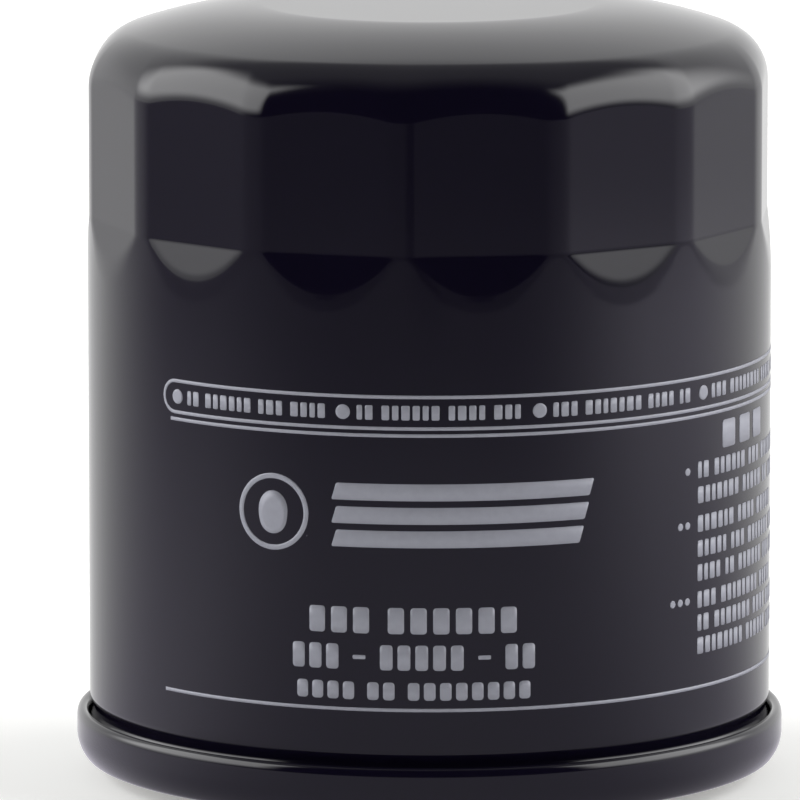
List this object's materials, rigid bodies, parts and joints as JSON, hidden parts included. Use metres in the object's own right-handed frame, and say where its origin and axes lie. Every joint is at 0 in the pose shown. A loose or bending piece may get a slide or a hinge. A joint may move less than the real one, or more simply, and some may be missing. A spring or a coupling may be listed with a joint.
{
  "type": "spin-on engine oil filter",
  "caption": "Spin-on oil filter canister with a fluted closed end, a double-seamed rim, a sealing gasket, a threaded base plate and a pleated filter element with its valves inside.",
  "frame": {"origin": "centre of the gasket's sealing face, the plane that meets the engine's filter head", "axes": "+Z along the filter's axis towards the closed fluted end; -Y towards the printed front"},
  "size_m": [0.0768, 0.0766, 0.084],
  "materials": {
    "black_enamel_can": "gloss black enamel over drawn steel",
    "black_enamel_cover": "gloss black enamel outside, plated steel inside the gasket channel",
    "zinc_plated_plate": "zinc-plated pressed steel",
    "gasket_rubber": "moulded nitrile rubber",
    "seam_compound": "cured sealing compound",
    "valve_rubber": "moulded nitrile rubber, matt",
    "tinned_cap_lower": "tinned sheet steel",
    "tinned_cap_upper": "tinned sheet steel",
    "potting_lower": "cured plastisol",
    "potting_upper": "cured plastisol",
    "filter_paper": "resin-impregnated filter paper",
    "clip_steel": "tinned steel strip",
    "tube_steel": "perforated sheet steel",
    "cage_steel": "pressed sheet steel",
    "poppet_steel": "pressed sheet steel",
    "guide_nylon": "moulded nylon",
    "seal_rubber": "moulded nitrile rubber",
    "relief_spring_steel": "drawn spring wire",
    "hold_down_spring_steel": "drawn spring wire",
    "seat_steel": "pressed sheet steel"
  },
  "bodies": {
    "housing": {"can_shell": "black_enamel_can", "cover_plate": "black_enamel_cover", "base_plate": "zinc_plated_plate", "gasket": "gasket_rubber", "seam_compound": "seam_compound", "hold_down_spring": "hold_down_spring_steel", "spring_seat": "seat_steel"},
    "element": {"lower_end_cap": "tinned_cap_lower", "upper_end_cap": "tinned_cap_upper", "lower_potting": "potting_lower", "upper_potting": "potting_upper", "pleated_media": "filter_paper", "media_clip": "clip_steel", "centre_tube": "tube_steel", "relief_cage": "cage_steel", "relief_spring": "relief_spring_steel"},
    "relief_valve": {"relief_poppet": "poppet_steel", "relief_guide": "guide_nylon", "relief_seal": "seal_rubber"},
    "antidrain_flap": {"antidrain_valve": "valve_rubber"}
  },
  "joints": [
    {"name": "element_lift", "type": "slide", "parent": "housing", "child": "element", "axis": [0, 0, 1], "range_m": [0, 0.0015], "stiffness_N_per_m": 4000, "springref_m": -0.01, "deforming": ["hold_down_spring"]},
    {"name": "relief_open", "type": "slide", "parent": "element", "child": "relief_valve", "axis": [0, 0, -1], "range_m": [0, 0.003], "stiffness_N_per_m": 2500, "springref_m": -0.0055, "deforming": ["relief_spring"]},
    {"name": "antidrain_lift", "type": "slide", "parent": "housing", "child": "antidrain_flap", "axis": [0, 0, 1], "range_m": [0, 0.0012], "stiffness_N_per_m": 300, "springref_m": -0.001, "deforming": ["antidrain_valve"]}
  ]
}
